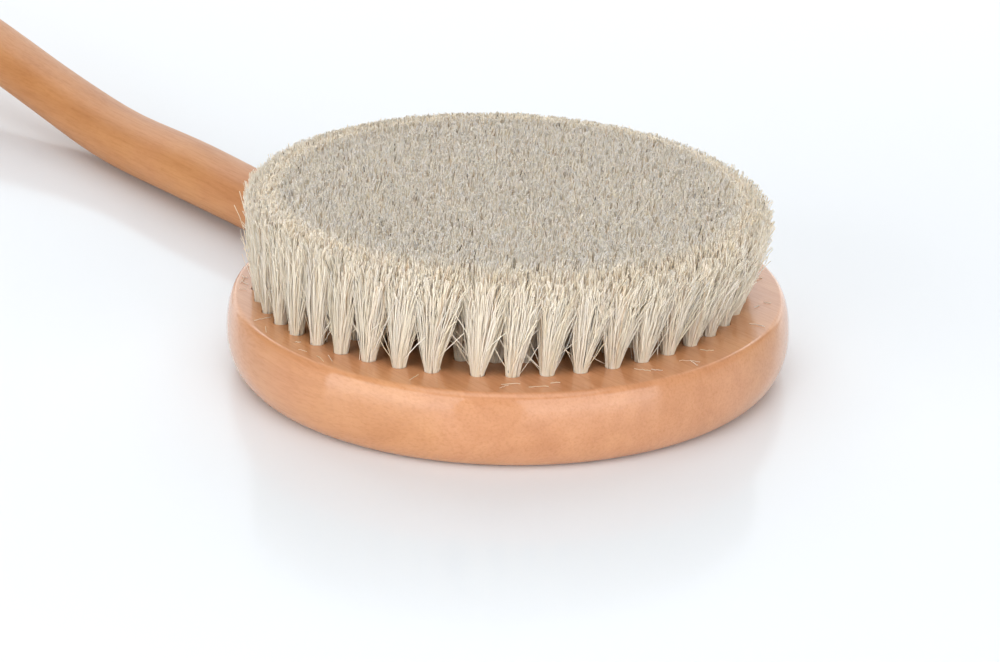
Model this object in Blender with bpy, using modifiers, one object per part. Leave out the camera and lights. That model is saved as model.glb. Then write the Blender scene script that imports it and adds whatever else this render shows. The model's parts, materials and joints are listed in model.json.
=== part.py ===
"""Body dry brush: round bristle head on a long, gently curved wooden handle.

Metres, +Z up. The origin is the centre of the head's flat back, the bristles point to +Z and the
handle runs along -X. The brush lies on its back, as it does on a table.
"""

import math

import bmesh
import bpy
from mathutils import Matrix, Vector

# Head: a round hardwood block with a bullnose edge
HEAD_RADIUS = 0.0575
HEAD_THICKNESS = 0.0156
BACK_RADIUS = 0.0529
FACE_RADIUS = 0.0551
WIDEST_HEIGHT = 0.0079
RIM_SEGMENTS = 72
ARC_STEPS = 5

# Tufts: concentric rings of bristles set in blind holes, with one tuft in the middle.
# The drilled pattern sits a little off the block's centre, and the bristles lean back over it.
# The two outer rings were drilled round from one place, where they close with a wider space.
PATTERN_OFFSET = Vector((-0.0029, -0.0001, 0))
PATTERN_TURN = math.radians(1.3)
OUTER_RING_RADIUS = 0.0492
RING_COUNT = 7
RING_PITCH = OUTER_RING_RADIUS / RING_COUNT
TUFT_SPACING = 0.00658
GAPPED_RINGS = 2
WIDE_SPACE = math.radians(10.2)
WIDE_SPACE_TURN = math.radians(-48.0)
HOLE_RADIUS = 0.0016
HOLE_DEPTH = 0.0065
HOLE_SIDES = 6
ROOT_RADIUS = 0.00115
TUFT_SIDES = 8
BRISTLE_TOP = 0.0371
BRISTLE_EDGE_RADIUS = 0.0522
FLARE_START = HEAD_THICKNESS + 0.0010
FLARE_MIDDLE = HEAD_THICKNESS + 0.0085
# Shares of a tuft's spread at the top that it has reached halfway up
MIDDLE_LEAN = 0.3
MIDDLE_DEPTH = 0.72
MIDDLE_WIDTH = 0.80
# The bristles are trimmed flat, and round off towards the edge
FLAT_TOP_RADIUS = 0.0470
EDGE_DROP = 0.0030
EDGE_DROP_POWER = 1.5

# Handle: an oval stick that lies low behind the head and then rises towards its end
OVERALL_LENGTH = 0.400
HANDLE_END = OVERALL_LENGTH - HEAD_RADIUS
HANDLE_START = 0.0530
SECTION_RATIO = 0.82
SECTION_SIDES = 20
STATION_SPACING = 0.0065
END_ROUNDING = 0.0085
END_STEPS = 8
# Distance from the head's centre, and the height of the handle's middle there
HANDLE_RISE = (
    (0.053, 0.0075),
    (0.090, 0.0073),
    (0.125, 0.0076),
    (0.157, 0.0073),
    (0.185, 0.0102),
    (0.225, 0.0154),
    (0.280, 0.0209),
    (0.3425, 0.0232),
)
# Distance from the head's centre, and half the handle's width there
HANDLE_WIDTH = (
    (0.053, 0.0082),
    (0.090, 0.0080),
    (0.125, 0.0085),
    (0.160, 0.0083),
    (0.200, 0.0080),
    (0.260, 0.0089),
    (0.310, 0.0100),
    (0.3425, 0.0098),
)
HANGING_HOLE_RADIUS = 0.0035
HANGING_HOLE_INSET = 0.0125
HANGING_HOLE_SIDES = 16
HANGING_CUT_LENGTH = 0.030

# Dowel: glued into the rim and the handle, low enough to pass under the tuft holes
DOWEL_RADIUS = 0.0030
DOWEL_HEIGHT = 0.0052
DOWEL_IN_HEAD = 0.020
DOWEL_IN_HANDLE = 0.018
DOWEL_CHAMFER = 0.0006
CHAMFERED_ANGLE = math.radians(60)
DOWEL_SIDES = 16

# Clearances
GAP = 0.0003
ROOT_END = HEAD_THICKNESS - HOLE_DEPTH + GAP
CUT_MARGIN = 0.002
WELD = 0.00001
FLAT_ANGLE = 0.0005
SMOOTH_ANGLE = math.radians(40)


def clear_scene():
    for obj in list(bpy.data.objects):
        bpy.data.objects.remove(obj, do_unlink=True)


def new_collection(name):
    collection = bpy.data.collections.new(name)
    bpy.context.scene.collection.children.link(collection)
    return collection


def principled(name, colour, roughness, metallic=0.0):
    material = bpy.data.materials.new(name)
    material.use_nodes = True
    shader = material.node_tree.nodes["Principled BSDF"]
    shader.inputs["Base Color"].default_value = (*colour, 1.0)
    shader.inputs["Roughness"].default_value = roughness
    shader.inputs["Metallic"].default_value = metallic
    return material


def add_object(name, mesh, collection, material=None):
    obj = bpy.data.objects.new(name, mesh)
    collection.objects.link(obj)
    if material:
        mesh.materials.append(material)
    return obj


def mesh_from_bmesh(name, bm):
    bmesh.ops.recalc_face_normals(bm, faces=bm.faces)
    mesh = bpy.data.meshes.new(name)
    bm.to_mesh(mesh)
    bm.free()
    return mesh


def solid_copy(obj):
    """A closed mesh of the object as it evaluates, with flat areas made single faces."""
    bpy.context.view_layer.update()
    evaluated = obj.evaluated_get(bpy.context.evaluated_depsgraph_get())
    mesh = bpy.data.meshes.new_from_object(evaluated)
    bm = bmesh.new()
    bm.from_mesh(mesh)
    bmesh.ops.remove_doubles(bm, verts=bm.verts, dist=WELD)
    bmesh.ops.dissolve_limit(bm, angle_limit=FLAT_ANGLE, verts=bm.verts, edges=bm.edges)
    bmesh.ops.recalc_face_normals(bm, faces=bm.faces)
    bm.to_mesh(mesh)
    bm.free()
    return mesh


def as_cutter(obj):
    obj.hide_render = True
    obj.display_type = "WIRE"
    return obj


def cut(obj, cutter):
    modifier = obj.modifiers.new("cut_" + cutter.name, "BOOLEAN")
    modifier.operation = "DIFFERENCE"
    modifier.object = cutter


def shade_round(obj):
    obj.data.shade_smooth()
    obj.data.set_sharp_from_angle(angle=SMOOTH_ANGLE)


# Curves and patterns


def smooth_value(points, at):
    """Value at a distance, on a smooth curve through (distance, value) points."""
    if at <= points[0][0]:
        return points[0][1]
    if at >= points[-1][0]:
        return points[-1][1]
    last = len(points) - 1
    i = max(k for k in range(last) if points[k][0] <= at)
    slopes = []
    for k in (i, i + 1):
        before = points[max(k - 1, 0)]
        after = points[min(k + 1, last)]
        slopes.append((after[1] - before[1]) / (after[0] - before[0]))
    span = points[i + 1][0] - points[i][0]
    t = (at - points[i][0]) / span
    return (
        points[i][1] * (1 + 2 * t) * (1 - t) ** 2
        + points[i + 1][1] * t * t * (3 - 2 * t)
        + slopes[0] * span * t * (1 - t) ** 2
        + slopes[1] * span * t * t * (t - 1)
    )


def rim_profile(grow=0.0):
    """(radius, height) points of the bullnose, from the face down to the back."""
    upper = HEAD_THICKNESS - WIDEST_HEIGHT
    points = []
    for k in range(ARC_STEPS + 1):
        turn = math.pi / 2 * (1 - k / ARC_STEPS)
        radius = FACE_RADIUS + (HEAD_RADIUS - FACE_RADIUS) * math.cos(turn)
        points.append((radius + grow, WIDEST_HEIGHT + (upper + grow) * math.sin(turn)))
    for k in range(1, ARC_STEPS + 1):
        turn = math.pi / 2 * k / ARC_STEPS
        radius = BACK_RADIUS + (HEAD_RADIUS - BACK_RADIUS) * math.cos(turn)
        points.append((radius + grow, WIDEST_HEIGHT - (WIDEST_HEIGHT + grow) * math.sin(turn)))
    return points


def turned_mesh(name, profile, collection):
    """A profile turned about Z, with a point on the axis at each end."""
    points = [(0.0, profile[0][1]), *profile, (0.0, profile[-1][1])]
    bm = bmesh.new()
    verts = [bm.verts.new((radius, 0, height)) for radius, height in points]
    for a, b in zip(verts, verts[1:]):
        bm.edges.new((a, b))
    mesh = bpy.data.meshes.new(name)
    bm.to_mesh(mesh)
    bm.free()
    obj = add_object(name, mesh, collection)
    screw = obj.modifiers.new("turn", "SCREW")
    screw.steps = RIM_SEGMENTS
    screw.render_steps = RIM_SEGMENTS
    screw.use_merge_vertices = True
    screw.merge_threshold = WELD
    turned = solid_copy(obj)
    bpy.data.objects.remove(obj, do_unlink=True)
    return turned


def ring_radius(ring):
    """Radius of a ring of tufts: ring 1 is the outer one."""
    return OUTER_RING_RADIUS - (ring - 1) * RING_PITCH


def tufts_in_ring(ring):
    """The second ring's tufts stand in the spaces of the outer ring, so there are as many."""
    spaced_like = 1 if ring <= GAPPED_RINGS else ring
    return round(2 * math.pi * ring_radius(spaced_like) / TUFT_SPACING)


def ring_spaces(ring):
    """Angles of a ring's even space and of the space that closes it."""
    count = tufts_in_ring(ring)
    if ring > GAPPED_RINGS:
        return 2 * math.pi / count, 2 * math.pi / count
    return (2 * math.pi - WIDE_SPACE) / (count - 1), WIDE_SPACE


def first_edge(ring):
    """Angle where a ring's first cell begins: a cell is one tuft and half the space on each side."""
    even, closing = ring_spaces(ring)
    if ring > GAPPED_RINGS:
        return PATTERN_TURN + even * (ring % 2 - 1) / 2
    start = WIDE_SPACE_TURN + closing / 2
    return start if ring == GAPPED_RINGS else start - even / 2


def tuft_angles(ring):
    """Angles of a ring's tufts: every other ring is turned by half a space."""
    even, closing = ring_spaces(ring)
    angles = [first_edge(ring) + even * (k + 0.5) for k in range(tufts_in_ring(ring))]
    if ring == GAPPED_RINGS:
        angles[-1] += (closing - even) / 2
    return angles


def tuft_centre(ring, angle):
    radius = ring_radius(ring)
    return PATTERN_OFFSET + Vector((radius * math.cos(angle), radius * math.sin(angle), 0))


def all_tuft_centres():
    centres = [PATTERN_OFFSET.copy()]
    for ring in range(1, RING_COUNT + 1):
        centres += [tuft_centre(ring, angle) for angle in tuft_angles(ring)]
    return centres


def lean(height):
    """How far the bristles have leant back over the block's centre at this height."""
    rise = (height - HEAD_THICKNESS) / (BRISTLE_TOP - HEAD_THICKNESS)
    return -PATTERN_OFFSET * max(0.0, rise)


def edge_drop(place):
    """How much shorter the bristles are trimmed near the edge."""
    past = (place - PATTERN_OFFSET).xy.length - FLAT_TOP_RADIUS
    share = max(0.0, past) / (BRISTLE_EDGE_RADIUS - FLAT_TOP_RADIUS)
    return EDGE_DROP * share**EDGE_DROP_POWER


def tuft_mesh(name, place, angle, sections):
    """A single tuft through octagons, each given as (height, middle x, half depth x, half width y)."""
    flat = 1 / math.cos(math.pi / TUFT_SIDES)
    turn = Matrix.Rotation(math.pi / TUFT_SIDES, 4, "Z")
    turned = Matrix.Rotation(angle, 3, "Z")
    bm = bmesh.new()
    bmesh.ops.create_circle(bm, cap_ends=True, segments=TUFT_SIDES, radius=flat, matrix=turn)
    bottom = face = bm.faces[:][0]
    unit = [vert.co.copy() for vert in face.verts]
    for height, middle, depth, width in sections:
        if height != sections[0][0]:
            extruded = bmesh.ops.extrude_face_region(bm, geom=[face])["geom"]
            if face is not bottom:
                bmesh.ops.delete(bm, geom=[face], context="FACES_ONLY")
            face = next(item for item in extruded if isinstance(item, bmesh.types.BMFace))
        shift = turned.inverted() @ lean(height)
        for vert, corner in zip(face.verts, unit):
            vert.co = Vector((middle + corner.x * depth, corner.y * width, height)) + shift
            if height == BRISTLE_TOP:
                vert.co.z -= edge_drop(place + turned @ vert.co)
    return mesh_from_bmesh(name, bm)


# Pieces


def make_head_block(parts, cutters, material):
    mesh = turned_mesh("head_block", rim_profile(), parts)
    head = add_object("head_block", mesh, parts, material)

    bm = bmesh.new()
    depth = HOLE_DEPTH + CUT_MARGIN
    for centre in all_tuft_centres():
        middle = Vector((centre.x, centre.y, HEAD_THICKNESS - HOLE_DEPTH + depth / 2))
        bmesh.ops.create_cone(
            bm,
            cap_ends=True,
            segments=HOLE_SIDES,
            radius1=HOLE_RADIUS,
            radius2=HOLE_RADIUS,
            depth=depth,
            matrix=Matrix.Translation(middle),
        )
    holes = add_object("tuft_holes", mesh_from_bmesh("tuft_holes", bm), cutters)
    cut(head, as_cutter(holes))
    shade_round(head)
    return head


def make_outer_tufts(parts, material):
    """One object for each tuft of the outer ring."""
    radius = ring_radius(1)
    inner_edge = radius - RING_PITCH / 2 + GAP / 2
    top_middle = (inner_edge + BRISTLE_EDGE_RADIUS) / 2 - radius
    top_depth = (BRISTLE_EDGE_RADIUS - inner_edge) / 2
    top_width = (radius + top_middle) * math.tan(ring_spaces(1)[0] / 2) - GAP / 2
    sections = (
        (ROOT_END, 0.0, ROOT_RADIUS, ROOT_RADIUS),
        (FLARE_START, 0.0, ROOT_RADIUS, ROOT_RADIUS),
        (FLARE_MIDDLE, MIDDLE_LEAN * top_middle, MIDDLE_DEPTH * top_depth, MIDDLE_WIDTH * top_width),
        (BRISTLE_TOP, top_middle, top_depth, top_width),
    )
    for number, angle in enumerate(tuft_angles(1), 1):
        name = f"tuft_outer_{number:02d}"
        place = tuft_centre(1, angle)
        tuft = add_object(name, tuft_mesh(name, place, angle, sections), parts, material)
        tuft.location = place
        tuft.rotation_euler = (0, 0, angle)
        shade_round(tuft)


def make_centre_tuft(parts, material):
    top = (RING_PITCH - GAP) / 2
    sections = (
        (ROOT_END, 0.0, ROOT_RADIUS, ROOT_RADIUS),
        (FLARE_START, 0.0, ROOT_RADIUS, ROOT_RADIUS),
        (FLARE_MIDDLE, 0.0, MIDDLE_WIDTH * top, MIDDLE_WIDTH * top),
        (BRISTLE_TOP, 0.0, top, top),
    )
    mesh = tuft_mesh("tuft_centre", PATTERN_OFFSET, 0.0, sections)
    tuft = add_object("tuft_centre", mesh, parts, material)
    tuft.location = PATTERN_OFFSET
    shade_round(tuft)


def make_tuft_ring(ring, parts, material):
    """A whole ring of tufts: separate roots whose bristles run together higher up."""
    radius = ring_radius(ring)
    even, closing = ring_spaces(ring)
    inner = (radius - RING_PITCH / 2 + GAP / 2) / math.cos(even / 2)
    outer = radius + RING_PITCH / 2 - GAP / 2
    start = Matrix.Rotation(first_edge(ring), 3, "Z")

    bm = bmesh.new()
    corners = ((inner, FLARE_MIDDLE), (outer, FLARE_MIDDLE), (outer, BRISTLE_TOP), (inner, BRISTLE_TOP))
    verts = [bm.verts.new(start @ Vector((r, 0, z))) for r, z in corners]
    edges = [bm.edges.new((verts[k], verts[(k + 1) % 4])) for k in range(4)]
    swept = verts + edges
    for angle, steps in ((2 * math.pi - closing, tufts_in_ring(ring) - 1), (closing, 1)):
        swept = bmesh.ops.spin(
            bm, geom=swept, axis=(0, 0, 1), cent=(0, 0, 0), angle=angle, steps=steps
        )["geom_last"]
    bmesh.ops.remove_doubles(bm, verts=bm.verts, dist=WELD)
    under = [face for face in bm.faces if all(abs(v.co.z - FLARE_MIDDLE) < WELD for v in face.verts)]
    for height in (FLARE_START, ROOT_END):
        under = bmesh.ops.extrude_discrete_faces(bm, faces=under)["faces"]
        for face in under:
            place = face.calc_center_median()
            centre = Vector((place.x, place.y, 0)).normalized() * radius
            for vert in face.verts:
                away = Vector((vert.co.x, vert.co.y, 0)) - centre
                vert.co = centre + away.normalized() * ROOT_RADIUS + Vector((0, 0, height))
    for vert in bm.verts:
        vert.co += lean(vert.co.z)
    name = f"tuft_ring_{ring}"
    tufts = add_object(name, mesh_from_bmesh(name, bm), parts, material)
    tufts.location = PATTERN_OFFSET
    shade_round(tufts)


def handle_stations():
    """Distances along the handle: even steps, then close ones round the end."""
    straight_end = HANDLE_END - END_ROUNDING
    steps = round((straight_end - HANDLE_START) / STATION_SPACING)
    stations = [HANDLE_START + (straight_end - HANDLE_START) * k / steps for k in range(steps)]
    for k in range(END_STEPS):
        stations.append(straight_end + END_ROUNDING * math.sin(math.pi / 2 * k / END_STEPS))
    return stations


def half_width(distance):
    """Half the handle's width, closing as a quarter ellipse at the end."""
    full = smooth_value(HANDLE_WIDTH, distance)
    past = max(0.0, distance - (HANDLE_END - END_ROUNDING)) / END_ROUNDING
    return full * math.sqrt(1 - past * past)


def make_handle(parts, cutters, material):
    section = bpy.data.curves.new("handle_section", "CURVE")
    section.dimensions = "2D"
    outline = section.splines.new("POLY")
    outline.points.add(SECTION_SIDES - 1)
    outline.use_cyclic_u = True
    for k, point in enumerate(outline.points):
        turn = 2 * math.pi * k / SECTION_SIDES
        point.co = (math.cos(turn), SECTION_RATIO * math.sin(turn), 0, 1)
    guide = as_cutter(bpy.data.objects.new("handle_section", section))
    cutters.objects.link(guide)

    path = bpy.data.curves.new("handle_path", "CURVE")
    path.dimensions = "3D"
    path.bevel_mode = "OBJECT"
    path.bevel_object = guide
    path.use_fill_caps = True
    stations = handle_stations()
    spline = path.splines.new("POLY")
    spline.points.add(len(stations) - 1)
    for point, distance in zip(spline.points, stations):
        point.co = (-distance, 0, smooth_value(HANDLE_RISE, distance), 1)
        point.radius = half_width(distance)
    swept = bpy.data.objects.new("handle_path", path)
    parts.objects.link(swept)
    handle = add_object("handle", solid_copy(swept), parts, material)
    bpy.data.objects.remove(swept, do_unlink=True)

    rim = add_object("rim_cope", turned_mesh("rim_cope", rim_profile(GAP), cutters), cutters)
    cut(handle, as_cutter(rim))

    hole = bmesh.new()
    where = -(HANDLE_END - HANGING_HOLE_INSET)
    bmesh.ops.create_cone(
        hole,
        cap_ends=True,
        segments=HANGING_HOLE_SIDES,
        radius1=HANGING_HOLE_RADIUS,
        radius2=HANGING_HOLE_RADIUS,
        depth=HANGING_CUT_LENGTH,
        matrix=Matrix.Translation((where, 0, smooth_value(HANDLE_RISE, -where))),
    )
    hanging = add_object("hanging_hole", mesh_from_bmesh("hanging_hole", hole), cutters)
    cut(handle, as_cutter(hanging))
    shade_round(handle)
    return handle


def cylinder_along_x(name, radius, start, end, collection, material=None):
    bm = bmesh.new()
    middle = Matrix.Translation(((start + end) / 2, 0, DOWEL_HEIGHT))
    bmesh.ops.create_cone(
        bm,
        cap_ends=True,
        segments=DOWEL_SIDES,
        radius1=radius,
        radius2=radius,
        depth=end - start,
        matrix=middle @ Matrix.Rotation(math.pi / 2, 4, "Y"),
    )
    return add_object(name, mesh_from_bmesh(name, bm), collection, material)


def make_dowel(parts, cutters, material, drilled):
    inner_end = -(HEAD_RADIUS - DOWEL_IN_HEAD)
    outer_end = -(HEAD_RADIUS + DOWEL_IN_HANDLE)
    dowel = cylinder_along_x("handle_dowel", DOWEL_RADIUS, outer_end, inner_end, parts, material)
    bevel = dowel.modifiers.new("chamfer", "BEVEL")
    bevel.width = DOWEL_CHAMFER
    bevel.segments = 1
    bevel.limit_method = "ANGLE"
    bevel.angle_limit = CHAMFERED_ANGLE
    bore = cylinder_along_x("dowel_bore", DOWEL_RADIUS + GAP, outer_end - GAP, inner_end + GAP, cutters)
    as_cutter(bore)
    for piece in drilled:
        cut(piece, bore)
    shade_round(dowel)


def main():
    clear_scene()
    parts = new_collection("body_dry_brush")
    cutters = new_collection("cutters")
    head_wood = principled("head_wood", (0.66, 0.36, 0.14), 0.30)
    handle_wood = principled("handle_wood", (0.62, 0.33, 0.12), 0.32)
    dowel_wood = principled("dowel_wood", (0.70, 0.50, 0.29), 0.60)
    bristle = principled("horse_hair", (0.74, 0.66, 0.53), 0.55)

    head = make_head_block(parts, cutters, head_wood)
    handle = make_handle(parts, cutters, handle_wood)
    make_dowel(parts, cutters, dowel_wood, (head, handle))
    make_outer_tufts(parts, bristle)
    for ring in range(2, RING_COUNT + 1):
        make_tuft_ring(ring, parts, bristle)
    make_centre_tuft(parts, bristle)


main()
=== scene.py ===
"""Looks of the body dry brush: lacquered wood, tufts of real hairs, a white table and soft studio light."""

import json
import math

import bmesh
import bpy
import numpy as np
from mathutils import Matrix, Vector


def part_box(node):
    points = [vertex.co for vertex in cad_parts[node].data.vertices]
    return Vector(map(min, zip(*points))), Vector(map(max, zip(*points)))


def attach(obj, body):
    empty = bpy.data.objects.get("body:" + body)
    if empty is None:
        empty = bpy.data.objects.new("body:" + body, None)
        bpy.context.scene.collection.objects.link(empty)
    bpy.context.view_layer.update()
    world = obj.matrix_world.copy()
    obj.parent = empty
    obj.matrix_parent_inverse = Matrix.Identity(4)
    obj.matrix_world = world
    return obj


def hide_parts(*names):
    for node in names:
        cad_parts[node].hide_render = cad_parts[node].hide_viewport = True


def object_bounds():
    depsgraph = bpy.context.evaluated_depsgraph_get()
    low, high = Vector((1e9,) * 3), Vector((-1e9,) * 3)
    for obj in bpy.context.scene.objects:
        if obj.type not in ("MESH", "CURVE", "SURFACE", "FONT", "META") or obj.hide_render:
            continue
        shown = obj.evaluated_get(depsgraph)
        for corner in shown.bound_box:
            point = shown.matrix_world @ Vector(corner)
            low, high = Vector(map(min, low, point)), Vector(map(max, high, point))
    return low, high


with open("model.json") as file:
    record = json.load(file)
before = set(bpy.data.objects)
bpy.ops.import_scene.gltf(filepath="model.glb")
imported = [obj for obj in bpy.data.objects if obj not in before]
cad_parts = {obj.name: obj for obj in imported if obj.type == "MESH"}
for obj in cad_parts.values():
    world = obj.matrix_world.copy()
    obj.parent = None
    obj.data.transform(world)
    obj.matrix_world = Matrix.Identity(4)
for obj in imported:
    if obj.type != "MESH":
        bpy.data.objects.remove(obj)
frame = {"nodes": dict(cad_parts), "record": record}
CAD_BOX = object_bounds()

MM = 0.001
RNG = np.random.default_rng(20)

# Camera: a long lens, turned about the head's centre from the front towards the right
CAMERA_TURN = math.radians(51.3)
CAMERA_DISTANCE = 0.478
CAMERA_HEIGHT = 0.1975
CAMERA_LENS = 90.1
CAMERA_YAW = math.radians(-0.19)
CAMERA_PITCH = math.radians(21.88)
CAMERA_ROLL = math.radians(0.88)

# Wood: each finish has a pale, a middle and a deep tone
HEAD_TONES = (0.66, 0.32, 0.145), (0.61, 0.284, 0.123), (0.56, 0.251, 0.105)
# The handle's tones are darker and redder than the head's: painted shade for the dimmer light that falls on
# the handle
HANDLE_TONES = (0.59, 0.274, 0.104), (0.535, 0.237, 0.085), (0.47, 0.197, 0.067)
DOWEL_TONES = (0.72, 0.50, 0.30), (0.66, 0.44, 0.25), (0.58, 0.37, 0.20)
HOLE_RADIUS = 1.52 * MM
HANDLE_END_ROUNDING = 8.5 * MM
RIM_GAP = 0.06 * MM
HANGING_HOLE_RADIUS = 3.4 * MM
HANGING_HOLE_FLARE = 1.1 * MM

# Hairs
HAIR_RADIUS = 0.094 * MM
OUTER_HAIR_RADIUS = 0.080 * MM
OUTER_HAIRS = 450
INNER_HAIRS = 205
STRAYS = 11
MOST_FALLEN = 2
HAIR_SIDES = 3
HAIRS_PER_WISP = 3
# A piece holds no more tufts than this, so that its mesh stays a workable size
MOST_TUFTS = 36
# How far a hair's shading follows its wisp instead of its own round side
NORMAL_LEAN = 0.5
# Shares of the way from the face to the top where a hair may bend
OUTER_RISE = (0.0, 0.22, 0.48, 0.72, 0.89, 1.0)
INNER_RISE = (0.0, 0.55, 0.88, 1.0)
MOUTH_RADIUS = 1.22 * MM
OUTER_SPREAD = (3.9 * MM, 5.6 * MM)
INNER_SPREAD = (4.9 * MM, 6.3 * MM)
FLAT_TOP = 47.0 * MM
SLANT_TO_THE_RIGHT = 0.026
SLANT_TO_THE_LEFT = 0.008

# Stage
TABLE_HALF_SIZE = 4.0
TABLE_MIDDLE = (-0.14, 0.0, 0.0)
TABLE_FADES_FROM = 0.58
TABLE_FADES_TO = 0.95
BACKDROP_RADIUS = 3.9


# ---------------------------------------------------------------- reading the frame


def node_points(name):
    """The vertices of a CAD node."""
    mesh = frame["nodes"][name].data
    points = np.empty(len(mesh.vertices) * 3, np.float32)
    mesh.vertices.foreach_get("co", points)
    return points.reshape(-1, 3).astype(float)


def root_centres(name):
    """The middle of each tuft root of a node, from the points at its lowest level."""
    points = node_points(name)
    low = points[points[:, 2] < points[:, 2].min() + 0.1 * MM][:, :2]
    centres = []
    while len(low):
        near = np.linalg.norm(low - low[0], axis=1) < 3.0 * MM
        group = np.unique(np.round(low[near], 6), axis=0)
        centres.append(group.mean(axis=0))
        low = low[~near]
    return np.array(centres)


HEAD = node_points("head_block")
HEAD_RADIUS = np.linalg.norm(HEAD[:, :2], axis=1).max()
FACE_HEIGHT = HEAD[:, 2].max()
BACK_HEIGHT = HEAD[:, 2].min()
RADII = np.linalg.norm(HEAD[:, :2], axis=1)
FACE_RADIUS = RADII[HEAD[:, 2] > FACE_HEIGHT - 0.05 * MM].max()
BACK_RADIUS = RADII[HEAD[:, 2] < BACK_HEIGHT + 0.05 * MM].max()
WIDEST_HEIGHT = HEAD[RADII.argmax(), 2]

OUTER_NODES = sorted(name for name in frame["nodes"] if name.startswith("tuft_outer_"))
RING_NODES = sorted(name for name in frame["nodes"] if name.startswith("tuft_ring_"))
CENTRE_NODE = "tuft_centre"
ROOTS = {name: root_centres(name) for name in [*OUTER_NODES, *RING_NODES, CENTRE_NODE]}
ROOT_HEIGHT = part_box(CENTRE_NODE)[0].z
BRISTLE_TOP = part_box(CENTRE_NODE)[1].z
PATTERN_CENTRE = ROOTS[CENTRE_NODE][0]
OUTER_TOPS = np.concatenate([node_points(name) for name in OUTER_NODES])
OUTER_TOPS = OUTER_TOPS[OUTER_TOPS[:, 2] > (BRISTLE_TOP + FACE_HEIGHT) / 2]
BRISTLE_EDGE = np.linalg.norm(OUTER_TOPS[:, :2], axis=1).max()


def to_the_right(places):
    """How far each place lies to the right of the head's middle, as the camera stands."""
    return places @ np.array([math.cos(CAMERA_TURN), math.sin(CAMERA_TURN)])


def trim_slant(places):
    """How far the top falls to the right, as the bristles were trimmed slightly askew."""
    right = to_the_right(places)
    return np.where(right > 0, SLANT_TO_THE_RIGHT, SLANT_TO_THE_LEFT) * right


def trim_drop(places):
    """How far below the flat top the bristles end, from a curve through the tops of the outer tufts."""
    distance = np.linalg.norm(OUTER_TOPS[:, :2] - PATTERN_CENTRE, axis=1)
    past = np.maximum(0, distance - FLAT_TOP)
    slope = ((BRISTLE_TOP - OUTER_TOPS[:, 2]) * past**1.5).sum() / (past**3).sum()
    beyond = np.maximum(0, np.linalg.norm(places - PATTERN_CENTRE, axis=1) - FLAT_TOP)
    return slope * beyond**1.5


# ---------------------------------------------------------------- materials


def new_material(name):
    material = bpy.data.materials.new(name)
    material.use_nodes = True
    tree = material.node_tree
    return material, tree, tree.nodes["Principled BSDF"]


def node(tree, kind, inputs=None, **settings):
    """A new node: an input is a value, or a socket to link."""
    made = tree.nodes.new(kind)
    for key, value in settings.items():
        setattr(made, key, value)
    for key, value in (inputs or {}).items():
        if isinstance(value, bpy.types.NodeSocket):
            tree.links.new(value, made.inputs[key])
        else:
            made.inputs[key].default_value = value
    return made


def ramp(tree, factor, stops):
    """A colour ramp from (position, colour or grey value) stops."""
    made = node(tree, "ShaderNodeValToRGB", {"Fac": factor})
    elements = made.color_ramp.elements
    while len(elements) < len(stops):
        elements.new(0.5)
    for element, (position, colour) in zip(elements, stops):
        element.position = position
        element.color = (colour, colour, colour, 1.0) if isinstance(colour, float) else (*colour, 1.0)
    return made.outputs["Color"]


def multiplied(tree, colour, by, factor=1.0):
    """One colour socket multiplied by another, or partly so."""
    made = node(tree, "ShaderNodeMix", data_type="RGBA", blend_type="MULTIPLY")
    factor_in, colour_in, by_in = made.inputs[0], made.inputs[6], made.inputs[7]
    factor_in.default_value = factor
    tree.links.new(colour, colour_in)
    tree.links.new(by, by_in)
    return made.outputs[2]


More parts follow.
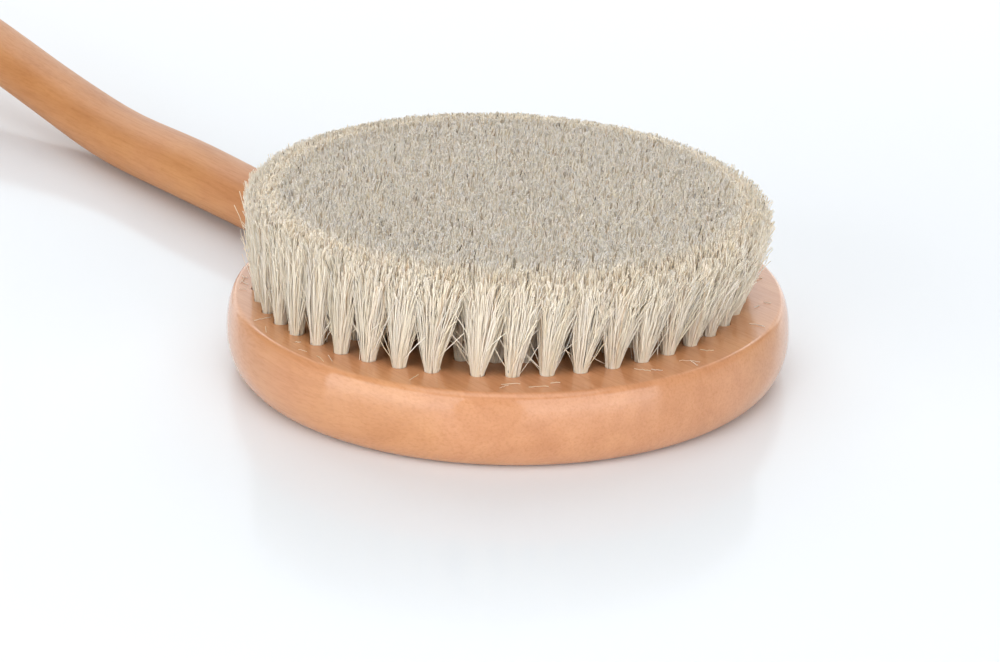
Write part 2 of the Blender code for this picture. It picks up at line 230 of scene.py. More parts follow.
def wood_material(name, tones, coat_roughness, coat=1.0):
    """Close-grained hardwood, lacquered where it has a coat: the grain runs along X through the piece."""
    pale, middle, deep = tones
    white = (1.0, 1.0, 1.0)
    material, tree, shader = new_material(name)
    place = node(tree, "ShaderNodeTexCoord").outputs["Object"]
    along = node(tree, "ShaderNodeMapping", {"Vector": place, "Scale": (9, 90, 90)}).outputs[0]
    fine = node(tree, "ShaderNodeMapping", {"Vector": place, "Scale": (120, 2200, 2200)}).outputs[0]
    broad = node(tree, "ShaderNodeTexNoise", {"Vector": place, "Scale": 28.0, "Detail": 3.0})
    bands = node(
        tree,
        "ShaderNodeTexNoise",
        {"Vector": along, "Scale": 1.6, "Detail": 5.0, "Roughness": 0.55, "Distortion": 0.6},
    )
    fibres = node(tree, "ShaderNodeTexNoise", {"Vector": fine, "Scale": 1.0, "Detail": 3.0})
    short = node(tree, "ShaderNodeMapping", {"Vector": place, "Scale": (500, 1500, 1500)}).outputs[0]
    flecks = node(
        tree,
        "ShaderNodeTexNoise",
        {"Vector": short, "Scale": 1.0, "Detail": 4.0, "Roughness": 0.7},
    )

    tone = ramp(tree, bands.outputs["Fac"], ((0.30, deep), (0.50, middle), (0.70, pale)))
    patchy = ((0.36, (0.95, 0.90, 0.80)), (0.52, white), (0.66, (0.99, 0.97, 1.04)))
    tone = multiplied(tree, tone, ramp(tree, broad.outputs["Fac"], patchy))
    lines = ((0.36, (0.86, 0.80, 0.74)), (0.52, white))
    tone = multiplied(tree, tone, ramp(tree, fibres.outputs["Fac"], lines), 0.45)
    specks = ((0.32, (0.96, 0.92, 0.88)), (0.44, white), (0.62, (1.02, 1.03, 1.06)))
    tone = multiplied(tree, tone, ramp(tree, flecks.outputs["Fac"], specks))
    tree.links.new(tone, shader.inputs["Base Color"])
    rough = ramp(tree, fibres.outputs["Fac"], ((0.3, 0.56), (0.7, 0.42)))
    tree.links.new(rough, shader.inputs["Roughness"])
    shader.inputs["Specular IOR Level"].default_value = 0.25
    shader.inputs["Coat Weight"].default_value = coat
    shader.inputs["Coat Roughness"].default_value = coat_roughness
    shader.inputs["Coat IOR"].default_value = 1.5

    ripples = node(tree, "ShaderNodeTexNoise", {"Vector": place, "Scale": 260.0, "Detail": 2.0})
    height = node(
        tree,
        "ShaderNodeMath",
        {0: ripples.outputs["Fac"], 1: fibres.outputs["Fac"]},
        operation="ADD",
    ).outputs[0]
    bump = node(tree, "ShaderNodeBump", {"Height": height, "Strength": 0.10, "Distance": 0.0002})
    tree.links.new(bump.outputs[0], shader.inputs["Normal"])
    tree.links.new(bump.outputs[0], shader.inputs["Coat Normal"])
    return material


def hair_material():
    """Horse hair: each hair has its own shade of colour, with painted shade that darkens its root and greys
    its cut tip.
    """
    material, tree, shader = new_material("horse_hair")
    shade = node(tree, "ShaderNodeAttribute", attribute_name="shade").outputs["Fac"]
    tint = node(tree, "ShaderNodeAttribute", attribute_name="tint").outputs["Fac"]
    along = node(tree, "ShaderNodeAttribute", attribute_name="along").outputs["Fac"]
    tone = ramp(
        tree,
        shade,
        (
            (0.00, (0.030, 0.024, 0.020)),
            (0.03, (0.20, 0.14, 0.10)),
            (0.07, (0.64, 0.46, 0.30)),
            (0.14, (0.93, 0.77, 0.57)),
            (0.45, (0.97, 0.84, 0.66)),
            (0.75, (0.985, 0.88, 0.73)),
            (1.00, (0.99, 0.93, 0.83)),
        ),
    )
    cast = ramp(tree, tint, ((0.0, (1.0, 0.99, 0.92)), (0.5, (1.0, 0.99, 0.97)), (1.0, (1.0, 0.97, 0.965))))
    # Painted shade: the hairs are darkened low down towards the face, among the tufts, and greyed towards the
    # cut tips for the top, which gets less light
    painted_root_and_tip_shade = ramp(
        tree,
        along,
        (
            (0.00, (0.90, 0.87, 0.84)),
            (0.60, (1.0, 1.0, 1.0)),
            (0.90, (1.0, 1.0, 1.0)),
            (0.965, (0.88, 0.905, 0.95)),
            (1.00, (0.76, 0.79, 0.86)),
        ),
    )
    tone = multiplied(tree, multiplied(tree, tone, cast), painted_root_and_tip_shade)
    tree.links.new(tone, shader.inputs["Base Color"])
    gloss = ramp(tree, shade, ((0.0, 0.34), (1.0, 0.52)))
    tree.links.new(gloss, shader.inputs["Roughness"])
    shader.inputs["Specular IOR Level"].default_value = 0.3
    shader.inputs["Subsurface Weight"].default_value = 0.3
    shader.inputs["Subsurface Radius"].default_value = (0.35, 0.30, 0.24)
    shader.inputs["Subsurface Scale"].default_value = MM
    return material


def table_material():
    """White and slightly glossy round the brush, and fading away further out."""
    material, tree, shader = new_material("white_table")
    place = node(tree, "ShaderNodeTexCoord").outputs["Object"]
    clouds = node(tree, "ShaderNodeTexNoise", {"Vector": place, "Scale": 3.0, "Detail": 2.0})
    rough = ramp(tree, clouds.outputs["Fac"], ((0.3, 0.10), (0.7, 0.14)))
    tree.links.new(rough, shader.inputs["Roughness"])
    shader.inputs["Base Color"].default_value = (0.838, 0.882, 0.924, 1.0)
    shader.inputs["Specular IOR Level"].default_value = 0.36
    away = node(tree, "ShaderNodeVectorMath", {0: place, 1: TABLE_MIDDLE}, operation="DISTANCE")
    stays = node(
        tree,
        "ShaderNodeMapRange",
        {
            "Value": away.outputs["Value"],
            "From Min": TABLE_FADES_FROM,
            "From Max": TABLE_FADES_TO,
            "To Min": 1.0,
            "To Max": 0.0,
        },
        interpolation_type="SMOOTHSTEP",
    )
    tree.links.new(stays.outputs["Result"], shader.inputs["Alpha"])
    return material


# ---------------------------------------------------------------- mesh helpers


def object_of(name, mesh, material=None):
    obj = bpy.data.objects.new(name, mesh)
    bpy.context.scene.collection.objects.link(obj)
    if material:
        mesh.materials.append(material)
    return obj


def mesh_of(name, points, faces):
    """A mesh from an array of points and a list of arrays of faces, each of one size."""
    mesh = bpy.data.meshes.new(name)
    mesh.vertices.add(len(points))
    mesh.vertices.foreach_set("co", np.asarray(points, np.float32).ravel())
    sizes = np.concatenate([np.full(len(group), group.shape[1]) for group in faces])
    corners = np.concatenate([group.ravel() for group in faces])
    mesh.loops.add(len(corners))
    mesh.loops.foreach_set("vertex_index", corners.astype(np.int32))
    mesh.polygons.add(len(sizes))
    mesh.polygons.foreach_set("loop_start", np.concatenate([[0], np.cumsum(sizes)[:-1]]).astype(np.int32))
    mesh.update(calc_edges=True)
    mesh.validate()
    return mesh


def baked(obj):
    """Applies the object's modifiers to its mesh."""
    bpy.context.view_layer.update()
    evaluated = obj.evaluated_get(bpy.context.evaluated_depsgraph_get())
    mesh = bpy.data.meshes.new_from_object(evaluated)
    obj.modifiers.clear()
    obj.data = mesh


def cut_away(obj, cutter):
    """Takes the cutter's shape out of the object, and the cutter away."""
    modifier = obj.modifiers.new("cut", "BOOLEAN")
    modifier.operation = "DIFFERENCE"
    modifier.object = cutter
    baked(obj)
    bpy.data.objects.remove(cutter, do_unlink=True)


def shade_round(obj):
    obj.data.shade_smooth()
    obj.data.set_sharp_from_angle(angle=math.radians(35))


# ---------------------------------------------------------------- the wood


def rim_radius(height):
    """Radius of the head's bullnose side at a height: an elliptical quarter up and one down."""
    if height >= WIDEST_HEIGHT:
        share = (height - WIDEST_HEIGHT) / (FACE_HEIGHT - WIDEST_HEIGHT)
        flat = FACE_RADIUS
    else:
        share = (WIDEST_HEIGHT - height) / (WIDEST_HEIGHT - BACK_HEIGHT)
        flat = BACK_RADIUS
    return flat + (HEAD_RADIUS - flat) * math.sqrt(max(0.0, 1 - min(share, 1.0) ** 2))


def circle(bm, radius, height, sides, centre=(0, 0)):
    verts = []
    for k in range(sides):
        turn = 2 * math.pi * k / sides
        x = centre[0] + radius * math.cos(turn)
        y = centre[1] + radius * math.sin(turn)
        verts.append(bm.verts.new((x, y, height)))
    return verts


def bridge(bm, lower, upper):
    count = len(lower)
    for k in range(count):
        bm.faces.new((lower[k], lower[(k + 1) % count], upper[(k + 1) % count], upper[k]))


def loop_edges(bm, verts):
    """The edges round a closed loop of vertices, made where they are missing."""
    pairs = zip(verts, verts[1:] + verts[:1])
    return [bm.edges.get(pair) or bm.edges.new(pair) for pair in pairs]


def dowel_bore(name):
    """A cutter 0.1 mm larger all round than the dowel."""
    low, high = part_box("handle_dowel")
    radius = (high.z - low.z) / 2 + 0.1 * MM
    bm = bmesh.new()
    bmesh.ops.create_cone(
        bm,
        cap_ends=True,
        segments=32,
        radius1=radius,
        radius2=radius,
        depth=high.x - low.x + 0.2 * MM,
        matrix=Matrix.Translation((low + high) / 2) @ Matrix.Rotation(math.pi / 2, 4, "Y"),
    )
    mesh = bpy.data.meshes.new(name)
    bm.to_mesh(mesh)
    bm.free()
    return object_of(name, mesh)


def make_head(material):
    """The turned disk, with a blind hole for each tuft and the dowel's bore."""
    sides, arc_steps, hole_sides = 288, 18, 18
    below = WIDEST_HEIGHT - BACK_HEIGHT
    above = FACE_HEIGHT - WIDEST_HEIGHT
    bm = bmesh.new()
    heights = [WIDEST_HEIGHT - below * math.cos(math.pi / 2 * k / arc_steps) for k in range(arc_steps)]
    heights += [WIDEST_HEIGHT + above * math.sin(math.pi / 2 * k / arc_steps) for k in range(arc_steps + 1)]
    loops = [circle(bm, rim_radius(height), height, sides) for height in heights]
    for lower, upper in zip(loops, loops[1:]):
        bridge(bm, lower, upper)
    bm.faces.new(list(reversed(loops[0])))

    edges = loop_edges(bm, loops[-1])
    for centres in ROOTS.values():
        for centre in centres:
            mouth = circle(bm, HOLE_RADIUS, FACE_HEIGHT, hole_sides, centre)
            floor = circle(bm, HOLE_RADIUS, ROOT_HEIGHT - 0.2 * MM, hole_sides, centre)
            bridge(bm, mouth, floor)
            bm.faces.new(floor)
            edges += loop_edges(bm, mouth)
    bmesh.ops.triangle_fill(bm, edges=edges, use_beauty=True, normal=(0, 0, 1))
    bmesh.ops.recalc_face_normals(bm, faces=bm.faces)
    mesh = bpy.data.meshes.new("head_wood")
    bm.to_mesh(mesh)
    bm.free()
    head = object_of("head_wood", mesh, material)
    cut_away(head, dowel_bore("head_bore"))
    shade_round(head)
    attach(head, "root")
    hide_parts("head_block")


def handle_sections():
    """Distance, middle height, half width and half thickness along the CAD handle, away from its ends."""
    step, reach = 3.0 * MM, 4.0 * MM
    mesh = frame["nodes"]["handle"].data
    points = node_points("handle")
    pairs = np.empty(len(mesh.edges) * 2, np.int32)
    mesh.edges.foreach_get("vertices", pairs)
    a, b = points[pairs.reshape(-1, 2)[:, 0]], points[pairs.reshape(-1, 2)[:, 1]]
    low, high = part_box("handle")
    rows = []
    for x in np.arange(high.x - 3 * reach, low.x + 5 * reach, -step):
        crossing = (a[:, 0] - x) * (b[:, 0] - x) < 0
        share = ((x - a[:, 0]) / np.where(crossing, b[:, 0] - a[:, 0], 1))[crossing, None]
        cut = a[crossing] + share * (b - a)[crossing]
        width = (cut[:, 1].max() - cut[:, 1].min()) / 2
        bottom, top = cut[:, 2].min(), cut[:, 2].max()
        rows.append((-x, (top + bottom) / 2, width, (top - bottom) / 2))
    return np.array(rows)


def smoothed(values, passes=6):
    """The values averaged with their neighbours, both ends kept."""
    for _ in range(passes):
        inner = 0.25 * values[:-2] + 0.5 * values[1:-1] + 0.25 * values[2:]
        values = np.concatenate([values[:1], inner, values[-1:]])
    return values


def make_handle(material):
    """The oval stick through the CAD handle's sections, from the rim to its rounded end."""
    sides, round_steps, cap_rings = 72, 14, 4
    rows = handle_sections()
    far = -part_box("handle")[0].x
    distance = rows[:, 0]
    middle, width, thick = (smoothed(rows[:, k]) for k in (1, 2, 3))
    rounding = HANDLE_END_ROUNDING
    straight = np.arange(HEAD_RADIUS, far - rounding, 2.0 * MM)
    ends = far - rounding + rounding * np.sin(np.pi / 2 * np.arange(0, round_steps) / round_steps)
    stations = np.concatenate([straight, ends])
    slope_end = (middle[-1] - middle[-6]) / (distance[-1] - distance[-6])
    heights = np.interp(stations, distance, middle) + np.maximum(0, stations - distance[-1]) * slope_end
    shrink = np.sqrt(1 - (np.maximum(0, stations - (far - rounding)) / rounding) ** 2)
    widths = np.interp(stations, distance, width) * shrink
    thicks = np.interp(stations, distance, thick) * shrink
    heights = smoothed(heights, 4)

    turns = 2 * np.pi * np.arange(sides) / sides
    points = []
    for place, height, half_width, half_thick in zip(stations, heights, widths, thicks):
        across = half_width * np.cos(turns)
        upward = height + half_thick * np.sin(turns)
        points.append(np.stack([np.full(sides, -place), across, upward], 1))
    # The first section follows the round rim, and the next few ease from it
    ease = 5
    for k in range(ease):
        for point in points[k]:
            rim = math.sqrt(max(0.0, (rim_radius(point[2]) + RIM_GAP) ** 2 - point[1] ** 2))
            point[0] += (HEAD_RADIUS - rim) * (1 - k / ease) ** 2
    # The end against the rim is closed by rings that follow it inwards
    centre = np.array([-stations[0], 0, heights[0]])
    caps = []
    for k in range(1, cap_rings):
        inner = points[0].copy()
        inner[:, 1:] = centre[1:] + (inner[:, 1:] - centre[1:]) * (1 - k / cap_rings)
        for point in inner:
            point[0] = -math.sqrt((rim_radius(point[2]) + RIM_GAP) ** 2 - point[1] ** 2)
        caps.append(inner)

    rings = [*reversed(caps), *points]
    grid = np.concatenate(rings)
    index = np.arange(len(grid)).reshape(len(rings), sides)
    after = np.roll(index, -1, axis=1)
    quads = np.stack([index[:-1], index[1:], after[1:], after[:-1]], axis=2).reshape(-1, 4)
    first, last = index[:1], index[-1:, ::-1]
    mesh = mesh_of("handle_wood", grid, [quads, first, last])
    handle = object_of("handle_wood", mesh, material)
    bm = bmesh.new()
    bm.from_mesh(mesh)
    bmesh.ops.recalc_face_normals(bm, faces=bm.faces)
    bm.to_mesh(mesh)
    bm.free()
    cut_away(handle, dowel_bore("handle_bore"))
    cut_away(handle, hanging_hole(stations, heights, thicks))
    shade_round(handle)
    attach(handle, "root")
    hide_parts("handle")


def hanging_hole(stations, heights, thicks):
    """A cutter for the hole near the end, flared where it meets the top and the underside."""
    opening = frame["record"]["physics"]["openings"][0]["box_m"]
    x = (opening[0][0] + opening[1][0]) / 2
    height = float(np.interp(-x, stations, heights))
    thick = float(np.interp(-x, stations, thicks))
    radius, flare = HANGING_HOLE_RADIUS, HANGING_HOLE_FLARE
    sides, flare_steps = 64, 8
    profile = []
    for k in range(flare_steps + 1):
        turn = math.pi / 2 * k / flare_steps
        profile.append((radius + flare * (1 - math.cos(turn)), thick - flare + flare * math.sin(turn)))
    profile.append((profile[-1][0] + 0.2 * MM, thick + 3 * MM))
    bm = bmesh.new()
    upper = [circle(bm, r, height + z, sides, (x, 0)) for r, z in profile]
    lower = [circle(bm, r, height - z, sides, (x, 0)) for r, z in profile]
    loops = [*reversed(lower), *upper]
    for a, b in zip(loops, loops[1:]):
        bridge(bm, a, b)
    bm.faces.new(list(reversed(loops[0])))
    bm.faces.new(loops[-1])
    bmesh.ops.recalc_face_normals(bm, faces=bm.faces)
    mesh = bpy.data.meshes.new("hanging_hole")
    bm.to_mesh(mesh)
    bm.free()
    return object_of("hanging_hole", mesh)


# ---------------------------------------------------------------- the hairs


def strands(name, paths, radii, facing, cut, shade, tint, material):
    """One mesh of hairs: closed prisms along the paths, an array of hairs by levels by XYZ.

    Each prism has a side facing its own way, and carries its shade, its tint and the height along it.
    """
    hairs, levels = paths.shape[:2]
    ahead = np.gradient(paths, axis=1)
    ahead /= np.linalg.norm(ahead, axis=2, keepdims=True)
    facing = np.concatenate([facing, np.full((hairs, 1), 0.2)], axis=1)[:, None, :]
    across = ahead * (facing * ahead).sum(axis=2, keepdims=True) - facing
    across /= np.linalg.norm(across, axis=2, keepdims=True)
    third = np.cross(ahead, across)
    turns = 2 * np.pi * np.arange(HAIR_SIDES) / HAIR_SIDES
    offset = (
        across[:, :, None, :] * np.cos(turns)[None, None, :, None]
        + third[:, :, None, :] * np.sin(turns)[None, None, :, None]
    )
    points = (paths[:, :, None, :] + offset * radii[:, :, None, None]).reshape(-1, 3)
    index = np.arange(len(points)).reshape(hairs, levels, HAIR_SIDES)
    after = np.roll(index, -1, axis=2)
    quads = np.stack([index[:, :-1], after[:, :-1], after[:, 1:], index[:, 1:]], axis=3).reshape(-1, 4)
    mesh = mesh_of(name, points, [quads, index[:, 0, ::-1], index[:, -1]])
    mesh.polygons.foreach_set("use_smooth", np.arange(len(mesh.polygons)) < len(quads))

    # Hairs that hang together are shaded together, so each normal leans the way its hair faces
    height = paths[:, :, 2] - FACE_HEIGHT
    along = np.clip(height / np.maximum(height[:, -1:], BRISTLE_TOP / 4), 0, 1)
    upward = np.clip(along * cut * 8 - 7, 0, 1)[:, :, None] * np.array([0, 0, 1.0])
    lean = facing / np.maximum(np.linalg.norm(facing, axis=2, keepdims=True), 1) + upward
    normals = (offset * (1 - NORMAL_LEAN) + lean[:, :, None, :] * NORMAL_LEAN).reshape(-1, 3)
    corner_normals = np.zeros((len(mesh.loops), 3))
    corner_normals[: quads.size] = normals[quads.ravel()]
    mesh.normals_split_custom_set(corner_normals.tolist())
    every = np.ones_like(along)
    # The height along each hair, scaled down for hairs over the edge, places the painted shade at the root
    # and the top
    carried = {"shade": shade[:, None] * every, "tint": tint[:, None] * every, "along": along * cut}
    for key, values in carried.items():
        attribute = mesh.attributes.new(key, "FLOAT", "POINT")
        attribute.data.foreach_set("value", np.repeat(values.ravel(), HAIR_SIDES).astype(np.float32))
    return object_of(name, mesh, material)


def disk(count, power=0.5):
    """Points spread over the unit disk, jittered: a power over a half crowds them in the middle."""
    k = np.arange(count) + 0.5
    radius = (k / count) ** power
    turn = np.pi * (1 + 5**0.5) * k + RNG.uniform(0, 2 * np.pi)
    points = np.stack([radius * np.cos(turn), radius * np.sin(turn)], 1)
    return points + RNG.normal(0, 0.25 / count**0.5, points.shape)


def hair_shades(count, wisp):
    """Shade of each hair: hairs of one wisp are alike, and a few are brown or black."""
    base = RNG.beta(1.6, 1.3, wisp.max() + 1)[wisp]
    shade = 0.24 + 0.72 * (0.78 * base + 0.22 * RNG.uniform(0, 1, count))
    odd = RNG.uniform(0, 1, count)
    shade[odd < 0.035] = RNG.uniform(0.05, 0.10, (odd < 0.035).sum())
    shade[odd < 0.004] = RNG.uniform(0.0, 0.03, (odd < 0.004).sum())
    return shade


def tuft_paths(root, hairs, rise, outer):
    """The hairs of one tuft, fanned out from its hole to the trimmed top."""
    unit = disk(hairs, 0.5 if outer else 0.55)
    slit = RNG.uniform(0, np.pi)
    split = np.array([-math.sin(slit), math.cos(slit)])
    side = np.sign(unit @ split)
    mouth = unit * MOUTH_RADIUS + side[:, None] * split * 0.14 * MM

    away = root - PATTERN_CENTRE
    outward = away / max(np.linalg.norm(away), MM)
    spread = RNG.uniform(*(OUTER_SPREAD if outer else INNER_SPREAD))
    fan = unit * spread + RNG.normal(0, 0.35 * MM, unit.shape)
    opening = RNG.uniform(1.0, 1.25) if outer else 1.0
    wild = RNG.uniform(0, 1, hairs) < 0.08
    fan[wild] *= RNG.uniform(1.1, 1.6, wild.sum())[:, None]
    tip = away + fan
    if outer:
        tip += outward * 0.8 * MM
        past = np.linalg.norm(tip, axis=1)
        limit = BRISTLE_EDGE + RNG.normal(0, 0.25 * MM, hairs) - RNG.uniform(0, 1.6 * MM, hairs)
        limit += 1.0 * MM * (to_the_right(root) / BRISTLE_EDGE) ** 2
        loose = RNG.uniform(0, 1, hairs) < 0.07
        limit[loose] += RNG.uniform(0.5, 2.6, loose.sum()) * MM
        over = past > limit
        tip[over] *= (limit[over] / past[over])[:, None]

    # Near their ends the hairs hang together in wisps, and each wisp points its own way
    wisps = hairs // HAIRS_PER_WISP
    wisp_at = disk(wisps)
    wisp = np.linalg.norm(unit[:, None, :] - wisp_at[None], axis=2).argmin(axis=1)
    pull = RNG.uniform(0.25, 0.8, wisps)[wisp][:, None]
    middle = np.zeros((wisps, 2))
    np.add.at(middle, wisp, tip)
    middle /= np.maximum(np.bincount(wisp, minlength=wisps), 1)[:, None]
    gather = (middle[wisp] - tip) * pull
    turn = RNG.normal(0, (0.45 if outer else 0.62) * MM, (wisps, 2))[wisp]
    turn += RNG.normal(0, 0.14 * MM, tip.shape)

    # The trim: each hair ends near the top, a little shorter over the edge
    end = tip + gather + turn
    height = BRISTLE_TOP - trim_slant(end) - trim_drop(end) * RNG.uniform(0.3, 1.3, wisps)[wisp]
    height += RNG.normal(0, 0.10 * MM, hairs) + RNG.normal(0, 0.12 * MM, wisps)[wisp]
    short = RNG.uniform(0, 1, hairs) < 0.06
    height[short] -= RNG.uniform(0.4, 3.0, short.sum()) * MM

    bow_way = RNG.uniform(0, 2 * np.pi, hairs)
    bow = np.stack([np.cos(bow_way), np.sin(bow_way)], 1) * RNG.normal(0, 0.45 * MM, hairs)[:, None]
    flat = (
        mouth[:, None, :] * (1 - rise)[None, :, None]
        + (tip - root)[:, None, :] * (rise**opening)[None, :, None]
        + bow[:, None, :] * np.sin(np.pi * rise)[None, :, None]
        + gather[:, None, :] * (rise**1.8)[None, :, None]
        + turn[:, None, :] * (rise**10)[None, :, None]
        + root
    )
    waver = RNG.normal(0, 0.12 * MM, (wisps, len(rise), 2))[wisp]
    waver += RNG.normal(0, 0.08 * MM, (hairs, len(rise), 2))
    waver *= (rise * (1 - rise) * 4)[None, :, None]
    z = FACE_HEIGHT + (height - FACE_HEIGHT)[:, None] * rise[None, :]
    above = np.concatenate([flat + waver, z[:, :, None]], axis=2)
    seat = np.concatenate([root + mouth * 0.92, np.full((hairs, 1), ROOT_HEIGHT)], axis=1)[:, None, :]
    facing = unit + outward * (0.6 if outer else 0.0) + RNG.normal(0, 0.25, (wisps, 2))[wisp]
    shades = hair_shades(hairs, wisp)
    tints = RNG.beta(1.2, 1.2, wisps)[wisp]
    return np.concatenate([seat, above], axis=1), facing, shades, tints


def stray_paths(root, hairs, rise):
    """Hairs that have worked loose from a tuft and bend across its neighbours."""
    away = root - PATTERN_CENTRE
    outward = away / np.linalg.norm(away)
    sideways = np.array([-outward[1], outward[0]])
    mouth = RNG.normal(0, 0.7 * MM, (hairs, 2))
    lean = RNG.choice([-1, 1], hairs) * RNG.uniform(3.0, 9.0, hairs) * MM
    out = RNG.uniform(-0.5, 3.6, hairs) * MM
    reach = lean[:, None] * sideways + out[:, None] * outward
    height = RNG.uniform(0.35, 0.95, hairs) * (BRISTLE_TOP - FACE_HEIGHT)
    bend = RNG.uniform(0.7, 2.2, hairs)
    share = rise[None, :] ** bend[:, None]
    flat = root + mouth[:, None, :] + reach[:, None, :] * share[:, :, None]
    flat += RNG.normal(0, 0.12 * MM, (hairs, len(rise), 2)) * rise[None, :, None]
    z = FACE_HEIGHT + height[:, None] * rise[None, :]
    above = np.concatenate([flat, z[:, :, None]], axis=2)
    seat = np.concatenate([root + mouth * 0.9, np.full((hairs, 1), ROOT_HEIGHT)], axis=1)[:, None, :]
    return np.concatenate([seat, above], axis=1), outward + RNG.normal(0, 0.3, (hairs, 2))


def fallen_paths(root, hairs, levels):
    """Cut ends of hair lying on the face between a tuft and the rim."""
    outward = root / np.linalg.norm(root)
    sideways = np.array([-outward[1], outward[0]])
    shelf = FACE_RADIUS - np.linalg.norm(root)
    middle = root + outward * RNG.uniform(0.45, 0.85, (hairs, 1)) * shelf
    middle = middle + sideways * RNG.uniform(-3, 3, (hairs, 1)) * MM
    way = RNG.uniform(0, np.pi, hairs)
    way = np.stack([np.cos(way), np.sin(way)], 1)
    along = np.linspace(-0.5, 0.5, levels)[None, :, None]
    length = RNG.uniform(0.8, 4.0, hairs)[:, None, None] * MM
    curl = np.stack([-way[:, 1], way[:, 0]], 1)[:, None, :] * RNG.uniform(-0.4, 0.4, (hairs, 1, 1)) * along**2
    flat = middle[:, None, :] + (way[:, None, :] * along + curl) * length
    reach = np.linalg.norm(flat, axis=2, keepdims=True)
    flat *= np.minimum(1, (FACE_RADIUS - 0.4 * MM) / reach)
    z = np.full((hairs, levels, 1), FACE_HEIGHT + HAIR_RADIUS) + RNG.uniform(0, 0.2 * MM, (hairs, levels, 1))
    return np.concatenate([flat, z], axis=2), np.zeros((hairs, 2))


def make_tufts(name, node_name, roots, outer, material):
    """One piece of hairs for these roots, which are a node's tufts or some of them."""
    hairs = OUTER_HAIRS if outer else INNER_HAIRS
    rise = np.array(OUTER_RISE if outer else INNER_RISE)
    paths, facings, shades, tints = [], [], [], []
    for root in roots:
        path, facing, shade, tint = tuft_paths(root, hairs, rise, outer)
        paths.append(path)
        facings.append(facing)
        shades.append(shade)
        tints.append(tint)
        if outer:
            fallen = RNG.integers(0, MOST_FALLEN + 1)
            for path, facing in (stray_paths(root, STRAYS, rise), fallen_paths(root, fallen, len(rise) + 1)):
                paths.append(path)
                facings.append(facing)
                shades.append(RNG.uniform(0.1, 0.95, len(path)))
                tints.append(RNG.uniform(0, 1, len(path)))
    paths, facings = np.concatenate(paths), np.concatenate(facings)
    shades, tints = np.concatenate(shades), np.concatenate(tints)
    taper = np.linspace(0.92, 1.0, paths.shape[1])
    radius = OUTER_HAIR_RADIUS if outer else HAIR_RADIUS
    radii = radius * RNG.uniform(0.75, 1.2, len(paths))[:, None] * taper[None, :]
    # Hairs that lean out over the edge show their lit sides, so the painted shade on the top reaches less far
    # along them
    over = np.linalg.norm(paths[:, -1, :2], axis=1) - FLAT_TOP + 2.0 * MM
    cut = 1 - 0.08 * np.clip(over / (3.0 * MM), 0, 1)[:, None]
    piece = strands(name, paths, radii, facings, cut, shades, tints, material)
    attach(piece, "root")
    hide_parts(node_name)


# ---------------------------------------------------------------- stage


def around(turn, rise, distance):
    """A place round the head: degrees to the right of the camera, degrees up, and metres."""
    turn, rise = math.radians(turn), math.radians(rise)
    place = Vector((math.cos(rise) * math.sin(turn), -math.cos(rise) * math.cos(turn), math.sin(rise)))
    return Matrix.Rotation(CAMERA_TURN, 3, "Z") @ place * distance


def area_light(name, at, size, power):
    """A rectangular lamp aimed at the brush: it lights and reflects, but the camera doesn't see it."""
    light = bpy.data.lights.new(name, "AREA")
    light.shape = "RECTANGLE"
    light.size, light.size_y = size
    light.energy = power
    obj = bpy.data.objects.new(name, light)
    obj.location = at
    obj.rotation_euler = (Vector((0, 0, 0.02)) - at).to_track_quat("-Z", "Y").to_euler()
    obj.visible_camera = False
    bpy.context.scene.collection.objects.link(obj)


def make_camera():
    camera = bpy.data.cameras.new("camera")
    camera.lens = CAMERA_LENS
    camera.sensor_width = 36
    camera.clip_start = 0.01
    obj = bpy.data.objects.new("camera", camera)
    turn = Matrix.Rotation(CAMERA_TURN, 3, "Z")
    ahead = turn @ Vector(
        (
            math.sin(CAMERA_YAW) * math.cos(CAMERA_PITCH),
            math.cos(CAMERA_YAW) * math.cos(CAMERA_PITCH),
            -math.sin(CAMERA_PITCH),
        )
    )
    right = ahead.cross(Vector((0, 0, 1))).normalized()
    up = right.cross(ahead)
    c, s = math.cos(CAMERA_ROLL), math.sin(CAMERA_ROLL)
    right, up = c * right + s * up, c * up - s * right
    basis = Matrix((right, up, -ahead)).transposed().to_4x4()
    obj.matrix_world = Matrix.Translation(turn @ Vector((0, -CAMERA_DISTANCE, CAMERA_HEIGHT))) @ basis
    bpy.context.scene.collection.objects.link(obj)
    bpy.context.scene.camera = obj


def make_backdrop():
    """A white dome round the table, which only the camera sees, so it adds no light."""
    bm = bmesh.new()
    bmesh.ops.create_uvsphere(bm, u_segments=64, v_segments=32, radius=BACKDROP_RADIUS)
    mesh = bpy.data.meshes.new("backdrop")
    bm.to_mesh(mesh)
    bm.free()
    material, _, shader = new_material("white_backdrop")
    shader.inputs["Base Color"].default_value = (0.0, 0.0, 0.0, 1.0)
    shader.inputs["Specular IOR Level"].default_value = 0.0
    shader.inputs["Emission Color"].default_value = (1.0, 1.0, 1.0, 1.0)
    shader.inputs["Emission Strength"].default_value = 1.0
    backdrop = object_of("backdrop", mesh, material)
    backdrop.visible_diffuse = False
    backdrop.visible_glossy = False
    backdrop.visible_transmission = False
    backdrop.visible_shadow = False


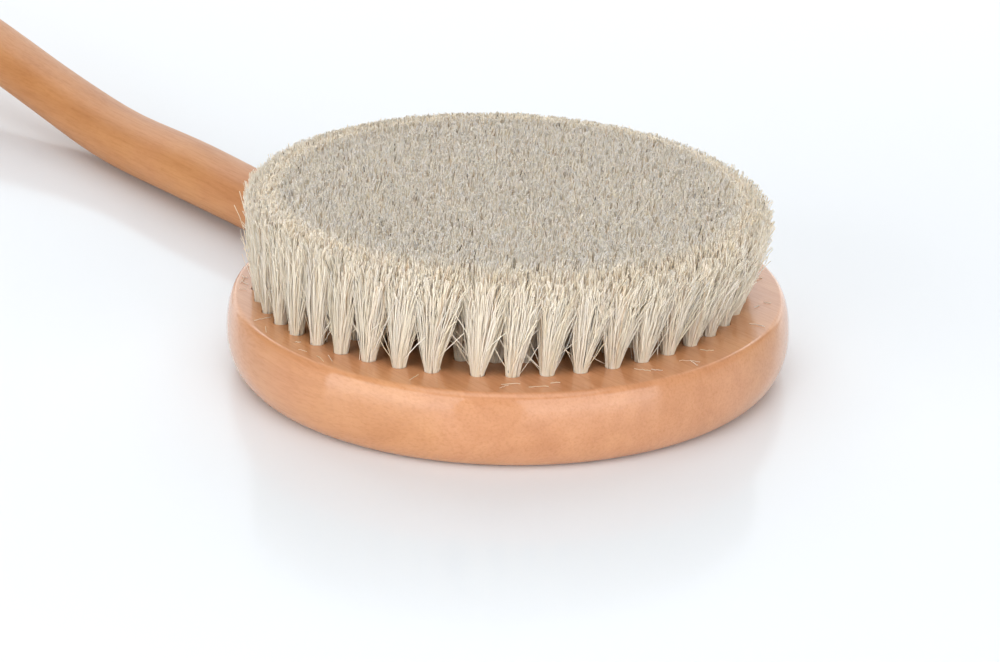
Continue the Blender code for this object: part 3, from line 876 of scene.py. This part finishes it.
def make_table():
    bm = bmesh.new()
    bmesh.ops.create_grid(bm, x_segments=8, y_segments=8, size=TABLE_HALF_SIZE)
    mesh = bpy.data.meshes.new("table")
    bm.to_mesh(mesh)
    bm.free()
    table = object_of("table", mesh, table_material())
    table.location.z = CAD_BOX[0][2] - 0.02 * MM


def make_lights():
    """A room that is pale round the table and greyer overhead, and five large lamps."""
    world = bpy.data.worlds.new("studio")
    world.use_nodes = True
    tree = world.node_tree
    direction = node(tree, "ShaderNodeTexCoord").outputs["Generated"]
    height = node(tree, "ShaderNodeSeparateXYZ", {"Vector": direction}).outputs["Z"]
    room = ramp(tree, height, ((0.0, 0.25), (0.01, 0.85), (0.10, 0.80), (0.30, 0.245)))
    tree.links.new(room, tree.nodes["Background"].inputs["Color"])
    bpy.context.scene.world = world
    area_light("softbox_left", around(-46, 17, 1.0), (1.0, 0.62), 5.25)
    area_light("softbox_right", around(33, 17, 1.0), (1.0, 0.62), 4.6)
    area_light("softbox_above", around(0, 62, 1.5), (1.6, 1.0), 8.2)
    area_light("softbox_behind", around(180, 50, 2.0), (2.5, 1.2), 16.0)
    area_light("back_wall", around(180, 20.6, 2.14), (4.0, 1.5), 20.0)


# ---------------------------------------------------------------- making it all

bpy.context.scene.view_settings.view_transform = "Standard"
make_camera()
make_table()
make_lights()
make_backdrop()
make_head(wood_material("lacquered_head", HEAD_TONES, 0.04))
make_handle(wood_material("lacquered_handle", HANDLE_TONES, 0.35, 0.25))
dowel = frame["nodes"]["handle_dowel"]
dowel.data.materials.clear()
dowel.data.materials.append(wood_material("bare_dowel", DOWEL_TONES, 0.5, 0.0))
hair = hair_material()
for node_name in OUTER_NODES:
    make_tufts(node_name.replace("tuft", "bristles"), node_name, ROOTS[node_name], True, hair)
for node_name in [*RING_NODES, CENTRE_NODE]:
    for start in range(0, len(ROOTS[node_name]), MOST_TUFTS):
        some_roots = ROOTS[node_name][start : start + MOST_TUFTS]
        piece_name = node_name.replace("tuft", "bristles") + ("_b" if start else "")
        make_tufts(piece_name, node_name, some_roots, False, hair)
